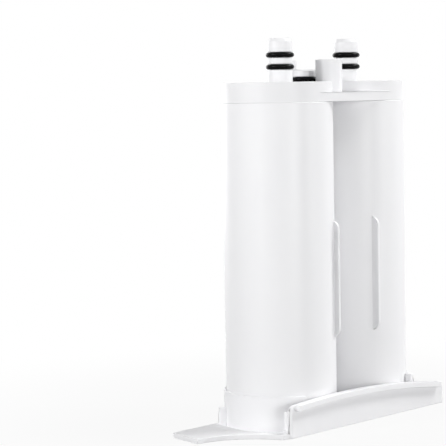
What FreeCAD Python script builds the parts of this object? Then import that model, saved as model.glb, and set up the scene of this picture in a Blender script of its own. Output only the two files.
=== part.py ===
"""Twin-canister water filter cartridge for a refrigerator, standing upright on its grip base.

The origin lies on the underside of the base, midway between the two canister axes. Z runs up along the
canisters, X from the inlet canister to the outlet canister, and the front panel faces -Y. Millimetres.
"""
import FreeCAD, Part
import math
import os
import re

import Sketcher
from FreeCAD import Placement, Rotation, Vector

SIZES = {
    # Canisters, with the slide fin on the front of each
    "tube_radius": 30.0,
    "canister_gap": 3.0,
    "tube_wall": 2.5,
    "canister_height": 172.0,
    "canister_bottom": 3.0,
    "fin_share": 0.47,
    "fin_thickness": 1.6,
    "fin_depth": 5.2,
    "fin_proud": 0.2,
    "fin_start": 48.2,
    "fin_length": 63.0,
    "fin_corner": 5.0,
    # Head moulding
    "cap_step": 0.5,
    "cap_height": 10.8,
    "bridge_height": 5.0,
    "plug_depth": 9.0,
    "plug_gap": 0.15,
    "plug_wall": 2.2,
    "roof_thickness": 3.5,
    "spine_half_width": 8.2,
    "crossover_radius": 2.7,
    "crossover_height": 4.3,
    "post_radius": 7.25,
    "post_height": 11.9,
    "front_post_gap": 1.9,
    "back_post_edge": 0.35,
    "stub_gap": 0.7,
    "stub_height": 6.8,
    "stub_chamfer": 0.8,
    # Spigots and their rings
    "spigot_inset": 3.0,
    "spigot_radius": 6.7,
    "spigot_height": 23.6,
    "spigot_bore": 3.2,
    "tip_inset": 1.3,
    "tip_length": 2.2,
    "ring_section": 2.7,
    "ring_groove_floor": 4.95,
    "ring_groove_play": 0.2,
    "lower_ring_height": 8.2,
    "ring_pitch": 6.4,
    # Filter block inside each canister
    "water_gap": 5.0,
    "block_bore": 6.0,
    "head_room": 4.0,
    "wrap_thickness": 0.8,
    "sleeve_thickness": 1.4,
    "end_cap_thickness": 3.0,
    "end_cap_rim": 1.6,
    "end_cap_rim_height": 5.0,
    "end_cap_gap": 0.1,
    "nose_length": 15.0,
    "nose_play": 0.2,
    "nose_bore": 2.2,
    "nose_groove_floor": 3.5,
    "nose_groove_play": 0.15,
    "nose_groove_height": 10.0,
    "seal_section": 1.7,
    "socket_wall": 3.2,
    "socket_room": 2.6,
    # Grip base
    "floor_thickness": 2.7,
    "cup_height": 20.0,
    "cup_gap": 0.15,
    "cup_wall": 1.1,
    "cup_span": 130.0,
    "foot_rim": 1.3,
    "dish_width": 10.8,
    "dish_floor": 0.9,
    "dish_start": 140.0,
    "dish_span": 82.0,
    "border_width": 1.2,
    "tie_thickness": 2.6,
    "tie_length": 3.9,
    "inlet_tie_height": 14.0,
    "outlet_tie_height": 20.0,
    "gusset_angle": 147.0,
    "gusset_thickness": 2.0,
    "gusset_length": 4.7,
    "gusset_height": 11.2,
    "brace_angle": 225.0,
    "brace_turn": 8.0,
    "brace_thickness": 1.5,
    "brace_height": 12.0,
    "panel_gap": 0.3,
    "panel_thickness": 2.0,
    "panel_left_reach": 0.6,
    "panel_left_height": 17.2,
    "panel_corner": 3.0,
    "panel_right_reach": 11.5,
    "panel_chamfer": 1.2,
    "floor_corner_reach": 4.0,
    "lip_left_inset": 4.2,
    "lip_right_inset": 5.0,
    "lip_left_height": 14.3,
    "lip_right_height": 9.9,
    "lip_height": 3.1,
    "lip_reach": 3.0,
    "lip_bow": 590.0,
    "right_end_depth": 14.0,
    "tab_back": 20.0,
    "tab_back_reach": 34.8,
    "tab_front": 2.0,
    "tab_front_reach": 39.6,
    "tab_sweep": 39.0,
}

doc = FreeCAD.newDocument("filter_cartridge")
sheet = doc.addObject("Spreadsheet::Sheet", "Sizes")
for row, (word, number) in enumerate(SIZES.items(), start=1):
    sheet.set(f"A{row}", word)
    sheet.set(f"B{row}", str(number))
    sheet.setAlias(f"B{row}", word)
doc.recompute()


def formula(text):
    """A size formula with each size word turned into its cell in the sheet."""
    return re.sub(r"[a-z_]+", lambda m: f"Sizes.{m[0]}" if m[0] in SIZES else m[0], text)


def bind(item, **formulas):
    for name, text in formulas.items():
        item.setExpression(name, formula(text))
    return item


def place(item, x="0", y="0", z="0", turn=None):
    """Put an item at bound coordinates, turned about Z by a bound angle."""
    if turn is not None:
        item.Placement = Placement(Vector(), Rotation(Vector(0, 0, 1), 1))
        item.setExpression("Placement.Rotation.Angle", formula(turn))
    for axis, text in zip("xyz", (x, y, z)):
        item.setExpression(f"Placement.Base.{axis}", formula(text))
    return item


def cylinder(name, radius, height, x="0", y="0", z="0"):
    item = doc.addObject("Part::Cylinder", name)
    return place(bind(item, Radius=radius, Height=height), x, y, z)


def box(name, length, width, height, x="0", y="0", z="0", turn=None):
    item = doc.addObject("Part::Box", name)
    return place(bind(item, Length=length, Width=width, Height=height), x, y, z, turn)


def ring(name, inner, section, x="0", y="0", z="0"):
    """A round rubber ring from its inner radius and its section diameter."""
    item = doc.addObject("Part::Torus", name)
    return place(bind(item, Radius1=f"{inner} + {section} / 2", Radius2=f"{section} / 2"), x, y, z)


def fuse(name, *items):
    item = doc.addObject("Part::MultiFuse", name)
    item.Shapes = list(items)
    item.Refine = True
    return item


def cut(name, base, tool):
    item = doc.addObject("Part::Cut", name)
    item.Base = base
    item.Tool = tool
    item.Refine = True
    return item


def pin(sketch, kind, edge, corner, text):
    """Hold one coordinate of a sketch corner at a bound distance from the origin."""
    value = float(sheet.evalExpression(formula(text)))
    if abs(value) < 1e-9:
        axis = -2 if kind == "DistanceX" else -1
        sketch.addConstraint(Sketcher.Constraint("PointOnObject", edge, corner, axis))
        return
    if value > 0:
        index = sketch.addConstraint(Sketcher.Constraint(kind, -1, 1, edge, corner, value))
        sketch.setExpression(f"Constraints[{index}]", formula(text))
    else:
        index = sketch.addConstraint(Sketcher.Constraint(kind, edge, corner, -1, 1, -value))
        sketch.setExpression(f"Constraints[{index}]", formula(f"-({text})"))


def outline(name, corners, arcs=None, upright=False):
    """A closed sketch through bound corners; arcs maps a side to (radius, +1 left or -1 right turn)."""
    arcs = arcs or {}
    sketch = doc.addObject("Sketcher::SketchObject", name)
    if upright:
        sketch.Placement = Placement(Vector(), Rotation(Vector(1, 0, 0), 90))
    points = [Vector(*(float(sheet.evalExpression(formula(text))) for text in pair), 0) for pair in corners]
    ends = []
    for side, start in enumerate(points):
        end = points[(side + 1) % len(points)]
        if side not in arcs:
            sketch.addGeometry(Part.LineSegment(start, end))
            ends.append((1, 2))
            continue
        radius = float(sheet.evalExpression(formula(arcs[side][0])))
        turn = arcs[side][1]
        chord = end - start
        rise = math.sqrt(radius ** 2 - (chord.Length / 2) ** 2)
        centre = (start + end) / 2 + Vector(-chord.y, chord.x, 0).normalize() * rise * turn
        first, last = (start, end) if turn > 0 else (end, start)
        angles = [math.atan2(p.y - centre.y, p.x - centre.x) for p in (first, last)]
        circle = Part.Circle(centre, Vector(0, 0, 1), radius)
        sketch.addGeometry(Part.ArcOfCircle(circle, *angles))
        ends.append((1, 2) if turn > 0 else (2, 1))
    for side in range(len(points)):
        after = (side + 1) % len(points)
        joint = Sketcher.Constraint("Coincident", side, ends[side][1], after, ends[after][0])
        sketch.addConstraint(joint)
    for side, (x, y) in enumerate(corners):
        pin(sketch, "DistanceX", side, ends[side][0], x)
        pin(sketch, "DistanceY", side, ends[side][0], y)
    for side, (radius, turn) in arcs.items():
        value = float(sheet.evalExpression(formula(radius)))
        index = sketch.addConstraint(Sketcher.Constraint("Radius", side, value))
        sketch.setExpression(f"Constraints[{index}]", formula(radius))
    return sketch


def extrude(name, sketch, direction, length):
    item = doc.addObject("Part::Extrusion", name)
    item.Base = sketch
    item.DirMode = "Custom"
    item.Dir = direction
    item.Solid = True
    return bind(item, LengthFwd=length)


def revolve(name, sketch, angle="360"):
    item = doc.addObject("Part::Revolution", name)
    item.Source = sketch
    item.Axis = Vector(0, 0, 1)
    item.Solid = True
    return bind(item, Angle=angle)


nodes = []


def keep(label, item):
    """Give a finished sub-part its name and list it for export."""
    item.Label = label
    nodes.append(item)


half_spacing = "(tube_radius + canister_gap / 2)"
half_span = f"({half_spacing} + tube_radius)"
tube_top = "(floor_thickness + canister_height)"
cap_radius = "(tube_radius - cap_step)"
ring_radius = "(ring_groove_floor + ring_section)"
back_post = f"({cap_radius} - post_radius - back_post_edge)"
stub_place = f"({back_post} - post_radius - stub_gap - {ring_radius})"
front_post = f"({stub_place} - {ring_radius} - front_post_gap - post_radius)"
cap_top = f"({tube_top} + cap_height)"
plug_radius = "(tube_radius - tube_wall - plug_gap)"
sides = (("inlet", "-1"), ("outlet", "1"))

# Canisters: a tube with a closed bottom and a slide fin flush with the front of the tube.
for side, sign in sides:
    shell = outline(f"{side}_shell_section", (
        ("0", "floor_thickness"),
        ("tube_radius", "floor_thickness"),
        ("tube_radius", tube_top),
        ("tube_radius - tube_wall", tube_top),
        ("tube_radius - tube_wall", "floor_thickness + canister_bottom"),
        ("0", "floor_thickness + canister_bottom"),
    ), upright=True)
    tube = place(revolve(f"{side}_tube", shell), x=f"{sign} * {half_spacing}")
    fin_front = "(tube_radius + fin_proud)"
    fin_plan = outline(f"{side}_fin_outline", (
        (f"fin_depth - {fin_front}", "fin_start"),
        (f"fin_depth - {fin_front}", "fin_start + fin_length"),
        (f"fin_corner - {fin_front}", "fin_start + fin_length"),
        (f"-{fin_front}", "fin_start + fin_length - fin_corner"),
        (f"-{fin_front}", "fin_start + fin_corner"),
        (f"fin_corner - {fin_front}", "fin_start"),
    ), arcs={2: ("fin_corner", 1), 4: ("fin_corner", 1)})
    fin_plan.Placement = Placement(Vector(), Rotation(Vector(1, 1, 1), 120))
    fin_x = f"{sign} * ({half_spacing} - fin_share * tube_radius) - fin_thickness / 2"
    fin_plan.setExpression("Placement.Base.x", formula(fin_x))
    fin = extrude(f"{side}_fin", fin_plan, Vector(1, 0, 0), "fin_thickness")
    keep(f"{side}_canister", fuse(f"{side}_canister_body", tube, fin))

# Head: two round caps joined by the bridge and the spine, with plugs that sit in the tubes.
solids = [
    box("bridge", f"2 * {half_spacing}", f"2 * {cap_radius}", "bridge_height",
        f"-{half_spacing}", f"-{cap_radius}", tube_top),
    box("spine", "2 * spine_half_width", f"{back_post} - {front_post}", "cap_height",
        "-spine_half_width", front_post, tube_top),
    cylinder("front_post", "post_radius", "cap_height + post_height", y=front_post, z=tube_top),
    cylinder("back_post", "post_radius", "cap_height + post_height", y=back_post, z=tube_top),
]
stub_section = outline("stub_section", (
    ("0", f"{cap_top} - 1"),
    ("ring_groove_floor", f"{cap_top} - 1"),
    ("ring_groove_floor", f"{cap_top} + ring_section + ring_groove_play"),
    ("spigot_radius", f"{cap_top} + ring_section + ring_groove_play"),
    ("spigot_radius", f"{cap_top} + stub_height - stub_chamfer"),
    ("spigot_radius - stub_chamfer", f"{cap_top} + stub_height"),
    ("0", f"{cap_top} + stub_height"),
), upright=True)
solids.append(place(revolve("stub", stub_section), y=stub_place))

half_groove = "(ring_section / 2 + ring_groove_play)"
lower_ring = f"({cap_top} + lower_ring_height)"
upper_ring = f"({lower_ring} + ring_pitch)"
spigot_section = outline("spigot_section", (
    ("0", f"{cap_top} - 1"),
    ("spigot_radius", f"{cap_top} - 1"),
    ("spigot_radius", f"{lower_ring} - {half_groove}"),
    ("ring_groove_floor", f"{lower_ring} - {half_groove}"),
    ("ring_groove_floor", f"{lower_ring} + {half_groove}"),
    ("spigot_radius", f"{lower_ring} + {half_groove}"),
    ("spigot_radius", f"{upper_ring} - {half_groove}"),
    ("ring_groove_floor", f"{upper_ring} - {half_groove}"),
    ("ring_groove_floor", f"{upper_ring} + {half_groove}"),
    ("spigot_radius", f"{upper_ring} + {half_groove}"),
    ("spigot_radius", f"{cap_top} + spigot_height - tip_length"),
    ("spigot_radius - tip_inset", f"{cap_top} + spigot_height"),
    ("0", f"{cap_top} + spigot_height"),
), upright=True)

# Hollows of the head: water room in each plug round a socket, spigot bores and the crossover passage.
hollows = []
seal_radius = "(nose_groove_floor + seal_section)"
block_base = "(floor_thickness + canister_bottom + end_cap_thickness)"
nose_base = f"({tube_top} - plug_depth - head_room)"
socket_top = f"({nose_base} + nose_length + socket_room)"
for side, sign in sides:
    axis = f"{sign} * {half_spacing}"
    port = f"{sign} * ({half_spacing} - spigot_inset)"
    solids += [
        cylinder(f"{side}_cap", cap_radius, "cap_height", axis, z=tube_top),
        cylinder(f"{side}_plug", plug_radius, "plug_depth + cap_height / 2", axis, z=f"{tube_top} - plug_depth"),
        place(revolve(f"{side}_spigot", spigot_section), x=port),
    ]
    room = cylinder(f"{side}_room", f"{plug_radius} - plug_wall", "plug_depth + cap_height - roof_thickness",
                    axis, z=f"{tube_top} - plug_depth")
    boss = cylinder(f"{side}_boss", f"{seal_radius} + socket_wall", "plug_depth + cap_height", axis,
                    z=f"{tube_top} - plug_depth")
    hollows += [
        cut(f"{side}_water_room", room, boss),
        cylinder(f"{side}_socket", seal_radius, f"{socket_top} - {tube_top} + plug_depth", axis,
                 z=f"{tube_top} - plug_depth"),
        cylinder(f"{side}_bore", "spigot_bore", f"{cap_top} + spigot_height - {socket_top} + 1", port,
                 z=f"{socket_top} - 1"),
    ]
crossover = cylinder("crossover", "crossover_radius", "2 * spine_half_width")
crossover.Placement = Placement(Vector(), Rotation(Vector(0, 1, 0), 90))
crossover.setExpression("Placement.Base.x", formula("-spine_half_width"))
crossover.setExpression("Placement.Base.y", formula(stub_place))
crossover.setExpression("Placement.Base.z", formula(f"{tube_top} + crossover_height"))
hollows.append(crossover)
keep("head", cut("head_body", fuse("head_solid", *solids), fuse("head_hollows", *hollows)))

# Rubber rings: two on each spigot and one at the foot of the stub.
for side, sign in sides:
    port = f"{sign} * ({half_spacing} - spigot_inset)"
    for level, height in (("upper", upper_ring), ("lower", lower_ring)):
        body = ring(f"{side}_{level}_ring", "ring_groove_floor", "ring_section", port, z=height)
        keep(f"{side}_{level}_o_ring", body)
stub_ring = ring("stub_ring", "ring_groove_floor", "ring_section", y=stub_place,
                 z=f"{cap_top} + ring_section / 2")
keep("stub_o_ring", stub_ring)

# Filter block in each canister: carbon with a fleece wrap and a porous sleeve, between two glued caps.
cap_outer = "(tube_radius - tube_wall - water_gap)"
cap_inner = f"({cap_outer} - end_cap_rim)"
wrap_radius = f"({cap_inner} - end_cap_gap)"
block_radius = f"({wrap_radius} - wrap_thickness)"
block_top = f"({nose_base} - end_cap_thickness)"
block_length = f"({block_top} - {block_base})"
nose_radius = f"({seal_radius} - nose_play)"
nose_groove = f"({nose_base} + nose_groove_height)"
half_nose_groove = "(seal_section / 2 + nose_groove_play)"
cap_foot = "(floor_thickness + canister_bottom)"
for side, sign in sides:
    axis = f"{sign} * {half_spacing}"
    layers = (
        ("carbon_block", "block_bore", block_radius),
        ("fleece_wrap", block_radius, wrap_radius),
        ("core_sleeve", "block_bore - sleeve_thickness", "block_bore"),
    )
    for layer, inner, outer in layers:
        whole = cylinder(f"{side}_{layer}_outside", outer, block_length, axis, z=block_base)
        bore = cylinder(f"{side}_{layer}_inside", inner, block_length, axis, z=block_base)
        keep(f"{side}_{layer}", cut(f"{side}_{layer}_body", whole, bore))
    lower = outline(f"{side}_lower_cap_section", (
        ("0", cap_foot),
        (cap_outer, cap_foot),
        (cap_outer, f"{block_base} + end_cap_rim_height"),
        (cap_inner, f"{block_base} + end_cap_rim_height"),
        (cap_inner, block_base),
        ("0", block_base),
    ), upright=True)
    keep(f"{side}_lower_end_cap", place(revolve(f"{side}_lower_cap", lower), x=axis))
    upper = outline(f"{side}_upper_cap_section", (
        ("nose_bore", block_top),
        (cap_inner, block_top),
        (cap_inner, f"{block_top} - end_cap_rim_height"),
        (cap_outer, f"{block_top} - end_cap_rim_height"),
        (cap_outer, nose_base),
        (nose_radius, nose_base),
        (nose_radius, f"{nose_groove} - {half_nose_groove}"),
        ("nose_groove_floor", f"{nose_groove} - {half_nose_groove}"),
        ("nose_groove_floor", f"{nose_groove} + {half_nose_groove}"),
        (nose_radius, f"{nose_groove} + {half_nose_groove}"),
        (nose_radius, f"{nose_base} + nose_length"),
        ("nose_bore", f"{nose_base} + nose_length"),
    ), upright=True)
    keep(f"{side}_upper_end_cap", place(revolve(f"{side}_upper_cap", upper), x=axis))
    keep(f"{side}_spigot_seal",
         ring(f"{side}_nose_ring", "nose_groove_floor", "seal_section", axis, z=nose_groove))

# Grip base: floor with the tab, cup walls on the outer sides, ribs, and the front panel with its arched lip.
cup_inner = "(tube_radius + cup_gap)"
cup_outer = f"({cup_inner} + cup_wall)"
cup_middle = f"({cup_inner} + cup_wall / 2)"
foot_radius = f"({cup_outer} + foot_rim)"
panel_back = "(tube_radius + panel_gap)"
panel_front = f"({panel_back} + panel_thickness)"
panel_left = f"({half_span} + panel_left_reach)"
panel_right = f"({half_span} + panel_right_reach)"
lip_left = f"({panel_left} - lip_left_inset)"
lip_right = f"({panel_right} - lip_right_inset)"
floor_plan = outline("floor_plan", (
    (f"-{panel_left} - floor_corner_reach", f"-{panel_back} - panel_thickness / 5"),
    (f"panel_thickness - {panel_left}", f"-{panel_back} - panel_thickness * 3 / 4"),
    (f"-{lip_left}", f"-{panel_front}"),
    (panel_right, f"-{panel_front}"),
    (panel_right, f"right_end_depth - {panel_front}"),
    (f"{half_spacing} + {foot_radius}", "0"),
    (half_spacing, foot_radius),
    (f"-{half_spacing}", foot_radius),
    (f"-{half_spacing} - sqrt({foot_radius} ^ 2 - tab_back ^ 2)", "tab_back"),
    (f"-{half_span} - tab_back_reach", "tab_back"),
    (f"-{half_span} - tab_front_reach", "-tab_front"),
), arcs={5: (foot_radius, 1), 7: (foot_radius, 1), 10: ("tab_sweep", -1)})
floor = extrude("floor", floor_plan, Vector(0, 0, 1), "floor_thickness")
dish_section = outline("dish_section", (
    (cup_middle, "dish_floor"),
    (f"{cup_middle} + 2 * dish_width", "2 * floor_thickness - dish_floor"),
    (cup_middle, "2 * floor_thickness - dish_floor"),
), upright=True)
dish = place(revolve("dish", dish_section, "dish_span"), x=f"-{half_spacing}", turn="dish_start")
border = box("tab_border", "2 * dish_width", "border_width", "floor_thickness",
             f"-{half_spacing} - {cup_outer} - dish_width", "tab_back - border_width")
base_parts = [cut("dished_floor", floor, dish), border]

cup_section = outline("cup_section", (
    (cup_inner, "0"),
    (cup_outer, "0"),
    (cup_outer, "cup_height"),
    (cup_inner, "cup_height"),
), upright=True)


def rib(name, axis, angle, start, length, thickness, height, turn):
    """A flat rib that starts at a radius from a canister axis and runs off at its own turn."""
    x = f"{axis} + {start} * cos({angle}) + {thickness} / 2 * sin({turn})"
    y = f"{start} * sin({angle}) - {thickness} / 2 * cos({turn})"
    return box(name, length, thickness, height, x, y, turn=turn)


for side, axis, start, tie, tie_height in (
    ("inlet", f"-{half_spacing}", "180 - cup_span / 2", "180 + cup_span / 2", "inlet_tie_height"),
    ("outlet", half_spacing, "-cup_span / 2", "-cup_span / 2", "outlet_tie_height"),
):
    base_parts += [
        place(revolve(f"{side}_cup", cup_section, "cup_span"), x=axis, turn=start),
        rib(f"{side}_tie", axis, tie, f"({cup_inner} + 0.1)", "tie_length", "tie_thickness", tie_height, tie),
    ]
brace_start = f"({cup_inner} + cup_wall * 0.8)"
brace_way = "(brace_angle + brace_turn)"
brace_length = f"({panel_back} + panel_thickness / 4 + {brace_start} * sin(brace_angle)) / -sin({brace_way})"
base_parts += [
    rib("gusset", f"-{half_spacing}", "gusset_angle", cup_middle, "gusset_length",
        "gusset_thickness", "gusset_height", "gusset_angle"),
    rib("brace", f"-{half_spacing}", "brace_angle", brace_start, brace_length, "brace_thickness",
        "brace_height", brace_way),
]

end_round = "lip_right_inset"
lip_left_top = "(lip_left_height + lip_height)"
lip_right_top = "(lip_right_height + lip_height)"
panel_outline = outline("panel_outline", (
    (f"-{panel_left}", "0"),
    (lip_right, "0"),
    (panel_right, end_round),
    (panel_right, f"{lip_right_top} - {end_round}"),
    (lip_right, lip_right_top),
    (f"-{lip_left}", lip_left_top),
    (f"panel_corner - {panel_left}", "panel_left_height"),
    (f"-{panel_left}", "panel_left_height - panel_corner"),
), arcs={1: (end_round, 1), 3: (end_round, 1), 4: ("lip_bow", 1), 6: ("panel_corner", 1)}, upright=True)
panel_outline.setExpression("Placement.Base.y", formula(f"-{panel_back}"))
panel = extrude("panel", panel_outline, Vector(0, -1, 0), "panel_thickness")
panel_edge = box("panel_edge", "2 * panel_thickness + panel_chamfer * sqrt(2)", "panel_thickness",
                 "panel_left_height + 2 * panel_thickness", f"-{panel_left} - panel_thickness * sqrt(2)",
                 f"panel_chamfer - {panel_front}", "-panel_thickness", turn="-45")
base_parts.append(cut("bevelled_panel", panel, panel_edge))
lip_outline = outline("lip_outline", (
    (f"-{lip_left}", "lip_left_height"),
    (lip_right, "lip_right_height"),
    (lip_right, lip_right_top),
    (f"-{lip_left}", lip_left_top),
), arcs={0: ("lip_bow", -1), 2: ("lip_bow", 1)}, upright=True)
lip_outline.setExpression("Placement.Base.y", formula(f"-{panel_back}"))
base_parts.append(extrude("lip", lip_outline, Vector(0, -1, 0), "panel_thickness + lip_reach"))
keep("grip_base", fuse("grip_base_body", *base_parts))

doc.recompute()
for item in doc.Objects:
    if "Invalid" in item.State or "Error" in item.State:
        raise RuntimeError(f"{item.Name} does not build: {item.State}")
os.makedirs("parts", exist_ok=True)
for item in nodes:
    if not item.Shape.isValid() or len(item.Shape.Solids) != 1:
        raise RuntimeError(f"{item.Label} is not one valid solid")
    item.Shape.exportStep(f"parts/{item.Label}.step")
    size = item.Shape.BoundBox
    print(f"{item.Label}: {size.XLength:.1f} x {size.YLength:.1f} x {size.ZLength:.1f}, {item.Shape.Volume:.0f} mm3")
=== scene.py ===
import bpy
import math
from mathutils import Matrix, Vector

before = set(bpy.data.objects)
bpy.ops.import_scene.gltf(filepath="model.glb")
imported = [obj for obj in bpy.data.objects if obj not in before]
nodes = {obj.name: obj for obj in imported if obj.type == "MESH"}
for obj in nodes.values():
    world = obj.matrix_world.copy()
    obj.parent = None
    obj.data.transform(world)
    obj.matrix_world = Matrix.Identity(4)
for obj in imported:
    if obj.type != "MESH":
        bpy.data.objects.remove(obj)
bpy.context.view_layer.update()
scene = bpy.context.scene


# Grip base
# The white foot that both canisters stand in: floor with a pull tab, two cup walls,
# a front panel and an arched grip lip. It is one injection moulding in polypropylene,
# and the canisters are pressed into its cups.

def linear(hex_colour):
    """Linear RGBA of an sRGB hex colour such as F2F2F0."""
    channels = [int(hex_colour[i:i + 2], 16) / 255 for i in (0, 2, 4)]
    straight = [c / 12.92 if c <= 0.04045 else ((c + 0.055) / 1.055) ** 2.4 for c in channels]
    return (*straight, 1.0)


def per_metre(millimetres):
    """Texture scale that makes one feature of a pattern this many millimetres wide."""
    return 1000 / millimetres


def add_node(tree, kind, settings=None, values=None, links=None):
    """Adds a node, sets its options and socket values, and links other nodes' outputs into it."""
    node = tree.nodes.new(kind)
    for name, value in (settings or {}).items():
        setattr(node, name, value)
    for socket, value in (values or {}).items():
        node.inputs[socket].default_value = value
    for socket, output in (links or {}).items():
        tree.links.new(output, node.inputs[socket])
    return node


def new_material(name):
    """An empty node material and the node tree to fill."""
    material = bpy.data.materials.new(name)
    material.use_nodes = True
    material.node_tree.nodes.clear()
    return material, material.node_tree


def dress(piece, material):
    """Puts one material on every face of a CAD node."""
    piece.data.materials.clear()
    piece.data.materials.append(material)


def round_edges(piece, radius_mm):
    """Gives a moulding the small edge radius that every injection mould leaves. Only sharp corners
    are rounded, so the facets of its curved walls stay as they are."""
    same_point = 2e-6
    sharp_corner = math.radians(32)
    weld = piece.modifiers.new("joined_faces", "WELD")
    weld.merge_threshold = same_point
    bevel = piece.modifiers.new("edge_radius", "BEVEL")
    bevel.width = radius_mm / 1000
    bevel.segments = 3
    bevel.limit_method = "ANGLE"
    bevel.angle_limit = sharp_corner
    bevel.use_clamp_overlap = False
    bevel.miter_outer = "MITER_ARC"
    normals = piece.modifiers.new("face_shading", "WEIGHTED_NORMAL")
    normals.weight = 80
    normals.keep_sharp = False


# The colour sockets of Blender's mix node, whose names repeat for its other kinds of data.
mix_share, mix_from, mix_to, mix_colour = 0, 6, 7, 2


def moulded_white(name, pale, dark, cloud_mm, grain_mm, smooth, rough, gloss):
    """White plastic from a steel mould: an even pale colour with faint flow clouds, and a sheen
    that breaks up a little over the mould's grain. The real grain is under a tenth of a
    millimetre, and it is drawn some ten times coarser so that it shows."""
    material, tree = new_material(name)
    place = add_node(tree, "ShaderNodeTexCoord").outputs["Object"]
    clouds = add_node(tree, "ShaderNodeTexNoise", None,
                      {"Scale": per_metre(cloud_mm), "Detail": 4.0, "Roughness": 0.55}, {"Vector": place})
    grain = add_node(tree, "ShaderNodeTexNoise", None,
                     {"Scale": per_metre(grain_mm), "Detail": 2.0, "Roughness": 0.6}, {"Vector": place})
    tint = add_node(tree, "ShaderNodeMix", {"data_type": "RGBA"},
                    {mix_from: linear(dark), mix_to: linear(pale)}, {mix_share: clouds.outputs["Fac"]})
    sheen = add_node(tree, "ShaderNodeMapRange", None,
                     {"To Min": smooth, "To Max": rough}, {"Value": clouds.outputs["Fac"]})
    relief = add_node(tree, "ShaderNodeBump", None,
                      {"Strength": 0.05, "Distance": 0.0002}, {"Height": grain.outputs["Fac"]})
    surface = add_node(tree, "ShaderNodeBsdfPrincipled", None, {"IOR": 1.49, "Specular IOR Level": gloss},
                       {"Base Color": tint.outputs[mix_colour], "Roughness": sheen.outputs["Result"],
                        "Normal": relief.outputs["Normal"]})
    add_node(tree, "ShaderNodeOutputMaterial", None, None, {"Surface": surface.outputs["BSDF"]})
    return material


# A satin mould leaves a wide, weak sheen, so the floor and panel look almost matt.
base_plastic = moulded_white("polypropylene_satin_moulded", pale="F3F3F4", dark="EDEDEF",
                             cloud_mm=14, grain_mm=0.9, smooth=0.54, rough=0.64, gloss=0.15)
base_edge_mm = 0.35
dress(nodes["grip_base"], base_plastic)
round_edges(nodes["grip_base"], base_edge_mm)


# Canisters
# Two white tubes with closed bottoms and a flat slide fin each. They are moulded in
# polypropylene in a polished mould and pressed into the base cups.

# The polished skin draws the lamps as long soft bands down each tube.
canister_plastic = moulded_white("polypropylene_polished_moulded", pale="F0F0F1", dark="ECECEE",
                                 cloud_mm=30, grain_mm=1.4, smooth=0.33, rough=0.39, gloss=0.42)
tube_edge_mm = 0.4
for side in ("inlet", "outlet"):
    dress(nodes[side + "_canister"], canister_plastic)
    round_edges(nodes[side + "_canister"], tube_edge_mm)


# Filter blocks
# Inside each closed tube a hollow carbon block in a fleece wrap stands round a porous sleeve.
# The block is pressed from carbon grains, and a plastic cap is glued on each of its ends;
# the upper cap plugs into the head with a rubber seal.

block_carbon, tree = new_material("activated_carbon_pressed")
# Grains pressed together give a dull charcoal black with a few paler grain faces. Real grains are
# some tenths of a millimetre, and they are drawn coarser so that they show.
carbon_grain_mm = 0.8
dust_patch_mm = 6
place = add_node(tree, "ShaderNodeTexCoord").outputs["Object"]
grains = add_node(tree, "ShaderNodeTexVoronoi", None,
                  {"Scale": per_metre(carbon_grain_mm)}, {"Vector": place})
dust = add_node(tree, "ShaderNodeTexNoise", None,
                {"Scale": per_metre(dust_patch_mm), "Detail": 5.0}, {"Vector": place})
tint = add_node(tree, "ShaderNodeMix", {"data_type": "RGBA"},
                {mix_from: linear("161617"), mix_to: linear("3A3A3C")}, {mix_share: grains.outputs["Color"]})
sheen = add_node(tree, "ShaderNodeMapRange", None,
                 {"To Min": 0.62, "To Max": 0.92}, {"Value": dust.outputs["Fac"]})
relief = add_node(tree, "ShaderNodeBump", None,
                  {"Strength": 0.6, "Distance": 0.0004}, {"Height": grains.outputs["Distance"]})
surface = add_node(tree, "ShaderNodeBsdfPrincipled", None, {"IOR": 1.6},
                   {"Base Color": tint.outputs[mix_colour], "Roughness": sheen.outputs["Result"],
                    "Normal": relief.outputs["Normal"]})
add_node(tree, "ShaderNodeOutputMaterial", None, None, {"Surface": surface.outputs["BSDF"]})

wrap_fleece, tree = new_material("polypropylene_fleece_melt_blown")
# Fibres of some hundredths of a millimetre, drawn ten times coarser so that they show:
# a dull off-white mat with fine strands lying round the block.
strand_length_mm = 3.0
strand_height_mm = 0.5
place = add_node(tree, "ShaderNodeTexCoord").outputs["Object"]
strands = add_node(tree, "ShaderNodeMapping", None,
                   {"Scale": (1.0, 1.0, strand_length_mm / strand_height_mm)}, {"Vector": place})
fibres = add_node(tree, "ShaderNodeTexNoise", None,
                  {"Scale": per_metre(strand_length_mm), "Detail": 8.0, "Roughness": 0.7, "Distortion": 0.8},
                  {"Vector": strands.outputs["Vector"]})
tint = add_node(tree, "ShaderNodeMix", {"data_type": "RGBA"},
                {mix_from: linear("D9D8D2"), mix_to: linear("F1F0EC")}, {mix_share: fibres.outputs["Fac"]})
sheen = add_node(tree, "ShaderNodeMapRange", None,
                 {"To Min": 0.80, "To Max": 0.95}, {"Value": fibres.outputs["Fac"]})
relief = add_node(tree, "ShaderNodeBump", None,
                  {"Strength": 0.5, "Distance": 0.0003}, {"Height": fibres.outputs["Fac"]})
surface = add_node(tree, "ShaderNodeBsdfPrincipled", None, {"IOR": 1.49, "Sheen Weight": 0.3},
                   {"Base Color": tint.outputs[mix_colour], "Roughness": sheen.outputs["Result"],
                    "Normal": relief.outputs["Normal"]})
add_node(tree, "ShaderNodeOutputMaterial", None, None, {"Surface": surface.outputs["BSDF"]})

sleeve_plastic, tree = new_material("polyethylene_sintered_porous")
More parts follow.
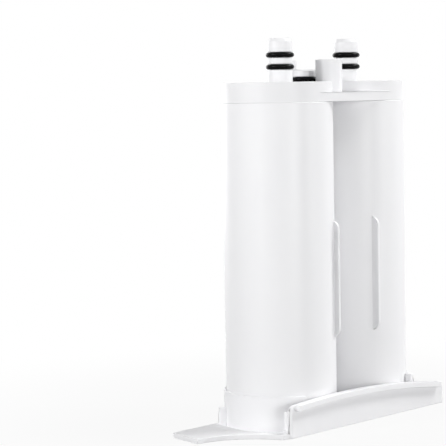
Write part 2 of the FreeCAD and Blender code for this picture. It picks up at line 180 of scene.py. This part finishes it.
# Beads sintered together give a matt white, pitted skin; its colour is painted darker between the beads, as
# painted shade in the pits.
bead_mm = 0.5
place = add_node(tree, "ShaderNodeTexCoord").outputs["Object"]
beads = add_node(tree, "ShaderNodeTexVoronoi", None, {"Scale": per_metre(bead_mm)}, {"Vector": place})
# Painted shade: the bead distance darkens the colour towards the pits between the beads.
tint = add_node(tree, "ShaderNodeMix", {"data_type": "RGBA"},
                {mix_from: linear("EDEDEA"), mix_to: linear("C9C9C4")},
                {mix_share: beads.outputs["Distance"]})
sheen = add_node(tree, "ShaderNodeMapRange", None,
                 {"To Min": 0.60, "To Max": 0.85}, {"Value": beads.outputs["Distance"]})
relief = add_node(tree, "ShaderNodeBump", {"invert": True},
                  {"Strength": 0.5, "Distance": 0.0002}, {"Height": beads.outputs["Distance"]})
surface = add_node(tree, "ShaderNodeBsdfPrincipled", None, {"IOR": 1.51},
                   {"Base Color": tint.outputs[mix_colour], "Roughness": sheen.outputs["Result"],
                    "Normal": relief.outputs["Normal"]})
add_node(tree, "ShaderNodeOutputMaterial", None, None, {"Surface": surface.outputs["BSDF"]})

seal_rubber, tree = new_material("epdm_rubber_greased")
# Compression moulded rubber under a thin film of grease: deep black, with a weak broken shine
# that is set low so that the white room doesn't turn it grey.
grease_patch_mm = 1.6
place = add_node(tree, "ShaderNodeTexCoord").outputs["Object"]
film = add_node(tree, "ShaderNodeTexNoise", None,
                {"Scale": per_metre(grease_patch_mm), "Detail": 3.0}, {"Vector": place})
tint = add_node(tree, "ShaderNodeMix", {"data_type": "RGBA"},
                {mix_from: linear("040405"), mix_to: linear("0A0A0B")}, {mix_share: film.outputs["Fac"]})
sheen = add_node(tree, "ShaderNodeMapRange", None,
                 {"To Min": 0.16, "To Max": 0.26}, {"Value": film.outputs["Fac"]})
surface = add_node(tree, "ShaderNodeBsdfPrincipled", None, {"IOR": 1.48, "Specular IOR Level": 0.06},
                   {"Base Color": tint.outputs[mix_colour], "Roughness": sheen.outputs["Result"]})
add_node(tree, "ShaderNodeOutputMaterial", None, None, {"Surface": surface.outputs["BSDF"]})

# Uncoloured polypropylene is a little greyer than the white outer mouldings, with a plain sheen.
cap_plastic = moulded_white("polypropylene_natural_moulded", pale="E4E5E3", dark="DADBD9",
                            cloud_mm=9, grain_mm=0.7, smooth=0.40, rough=0.52, gloss=0.40)
for side in ("inlet", "outlet"):
    dress(nodes[side + "_carbon_block"], block_carbon)
    dress(nodes[side + "_fleece_wrap"], wrap_fleece)
    dress(nodes[side + "_core_sleeve"], sleeve_plastic)
    dress(nodes[side + "_lower_end_cap"], cap_plastic)
    dress(nodes[side + "_upper_end_cap"], cap_plastic)
    dress(nodes[side + "_spigot_seal"], seal_rubber)


# Head
# One white moulding that closes both tubes: two round caps, the bridge between them,
# two spigots, two posts and a short stub. It is moulded in ABS, and a plug under each
# cap sits in the tube's mouth.

# Semi-gloss ABS is close to the tubes in colour, with a slightly softer shine.
head_plastic = moulded_white("abs_semi_gloss_moulded", pale="EDEDEE", dark="E8E8EA",
                             cloud_mm=22, grain_mm=1.1, smooth=0.36, rough=0.44, gloss=0.40)
head_edge_mm = 0.3
dress(nodes["head"], head_plastic)
round_edges(nodes["head"], head_edge_mm)


# Rubber rings
# Black sealing rings of the same EPDM rubber as the inner seals. Two are stretched into
# the grooves of each spigot, and one lies at the foot of the stub.

for name in ("inlet_upper_o_ring", "inlet_lower_o_ring", "outlet_upper_o_ring",
             "outlet_lower_o_ring", "stub_o_ring"):
    dress(nodes[name], seal_rubber)


# Floor
# A plain sheet of white studio paper under the cartridge. It looks white to the camera and in
# reflections, apart from a small share of matt paper near the middle. That share shows the real
# shadow, and it also paints a faint grey pool of shade round the middle, placed by distance from it.

def studio_in_sight(tree):
    """1 for a ray that sees the studio, straight, in a gloss or through glass, and 0 for its light."""
    rays = add_node(tree, "ShaderNodeLightPath").outputs
    mirrored = add_node(tree, "ShaderNodeMath", {"operation": "MAXIMUM"}, None,
                        {0: rays["Is Camera Ray"], 1: rays["Is Glossy Ray"]})
    sight = add_node(tree, "ShaderNodeMath", {"operation": "MAXIMUM"}, None,
                     {0: mirrored.outputs[0], 1: rays["Is Transmission Ray"]})
    return sight.outputs[0]


floor_size = 6.0
shadow_and_painted_shade_reach = 0.3
shadow_and_painted_shade_core = 0.7
shadow_and_painted_shade_share = 0.08
half = floor_size / 2
corners = [(-half, -half, 0), (half, -half, 0), (half, half, 0), (-half, half, 0)]
floor_mesh = bpy.data.meshes.new("studio_floor")
floor_mesh.from_pydata(corners, [], [(0, 1, 2, 3)])
floor = bpy.data.objects.new("studio_floor", floor_mesh)
scene.collection.objects.link(floor)
paper, tree = new_material("white_studio_paper")
sight = studio_in_sight(tree)
place = add_node(tree, "ShaderNodeTexCoord").outputs["Object"]
# Painted shade: distance from the middle sets the matt share, so a grey pool is painted round the cartridge,
# and its real shadow shows in it too.
spread = add_node(tree, "ShaderNodeVectorMath", {"operation": "SCALE"},
                  {"Scale": 1 / shadow_and_painted_shade_reach}, {0: place})
nearness = add_node(tree, "ShaderNodeTexGradient", {"gradient_type": "SPHERICAL"}, None,
                    {"Vector": spread.outputs[0]})
white = add_node(tree, "ShaderNodeMapRange", {"interpolation_type": "SMOOTHSTEP"},
                 {"From Max": shadow_and_painted_shade_core, "To Min": 1.0, "To Max": 1 - shadow_and_painted_shade_share},
                 {"Value": nearness.outputs["Fac"]})
share = add_node(tree, "ShaderNodeMath", {"operation": "MULTIPLY"}, None,
                 {0: sight, 1: white.outputs["Result"]})
matt = add_node(tree, "ShaderNodeBsdfDiffuse", None, {"Color": linear("B4B4B4")})
glow = add_node(tree, "ShaderNodeEmission", None, {"Color": (1, 1, 1, 1), "Strength": 1.0})
blend = add_node(tree, "ShaderNodeMixShader", None, None,
                 {0: share.outputs[0], 1: matt.outputs[0], 2: glow.outputs[0]})
add_node(tree, "ShaderNodeOutputMaterial", None, None, {"Surface": blend.outputs[0]})
floor.data.materials.append(paper)


# Studio light
# A dim pale room with soft boxes all round: a box and a low strip on the left, two low boxes in
# front, one high on the right, a weak one above the camera, and one behind that lights the back.

room_level = 0.03
room = bpy.data.worlds.new("pale_room")
scene.world = room
room.use_nodes = True
tree = room.node_tree
tree.nodes.clear()
level = add_node(tree, "ShaderNodeMapRange", None,
                 {"To Min": room_level, "To Max": 1.0}, {"Value": studio_in_sight(tree)})
walls = add_node(tree, "ShaderNodeBackground", None,
                 {"Color": (1, 1, 1, 1)}, {"Strength": level.outputs["Result"]})
add_node(tree, "ShaderNodeOutputWorld", None, None, {"Surface": walls.outputs[0]})


def soft_box(name, azimuth, elevation, distance, width, height, watts, aim=0.10):
    """An area lamp that faces the cartridge. Its azimuth, from the front towards the right, and its
    elevation are in degrees; distance, width, height and the height it aims at are in metres."""
    middle = Vector((0, 0, aim))
    a = math.radians(azimuth)
    e = math.radians(elevation)
    away = Vector((math.sin(a) * math.cos(e), -math.cos(a) * math.cos(e), math.sin(e)))
    lamp = bpy.data.lights.new(name, "AREA")
    lamp.shape = "RECTANGLE"
    lamp.size = width
    lamp.size_y = height
    lamp.energy = watts
    lamp_object = bpy.data.objects.new(name, lamp)
    lamp_object.location = middle + away * distance
    lamp_object.rotation_euler = (-away).to_track_quat("-Z", "Y").to_euler()
    scene.collection.objects.link(lamp_object)


soft_box("left_box", azimuth=-108, elevation=25, distance=1.2,
         width=0.4, height=0.6, watts=8.9, aim=0.14)
soft_box("low_left_strip", azimuth=-86, elevation=4, distance=0.8,
         width=0.10, height=0.45, watts=0.7, aim=0.06)
soft_box("front_left_box", azimuth=-18, elevation=4, distance=1.4,
         width=0.6, height=0.5, watts=7.3)
soft_box("front_right_box", azimuth=20, elevation=5, distance=1.5,
         width=0.4, height=0.5, watts=3.3)
soft_box("high_right_box", azimuth=58, elevation=45, distance=1.4,
         width=0.5, height=0.5, watts=14.2)
soft_box("high_camera_box", azimuth=-52, elevation=50, distance=1.4,
         width=0.5, height=0.5, watts=2.0)
soft_box("back_box", azimuth=168, elevation=10, distance=1.6,
         width=1.0, height=1.0, watts=8.0)


# Camera
# It stands about a metre off, in front and to the left, near the height of the spigots. It looks
# slightly down and leans by about one degree, as in the photograph.

eye = Vector((-0.74666, -0.61568, 0.18212))
turn = math.radians(-47.44)
pitch = math.radians(4.36)
roll = math.radians(1.05)
focal_pixels = 1750
image_pixels = 446
view = Vector((-math.sin(turn) * math.cos(pitch), math.cos(turn) * math.cos(pitch), -math.sin(pitch)))
level_right = Vector((math.cos(turn), math.sin(turn), 0))
level_up = level_right.cross(view)
right = level_right * math.cos(roll) - level_up * math.sin(roll)
up = level_right * math.sin(roll) + level_up * math.cos(roll)
camera_data = bpy.data.cameras.new("photo_camera")
camera_data.sensor_width = 36
camera_data.lens = focal_pixels * camera_data.sensor_width / image_pixels
camera_data.clip_start = 0.05
camera_data.clip_end = 20
camera = bpy.data.objects.new("photo_camera", camera_data)
camera.matrix_world = Matrix((
    (right.x, up.x, -view.x, eye.x),
    (right.y, up.y, -view.y, eye.y),
    (right.z, up.z, -view.z, eye.z),
    (0, 0, 0, 1),
))
scene.collection.objects.link(camera)
scene.camera = camera
scene.view_settings.view_transform = "Standard"
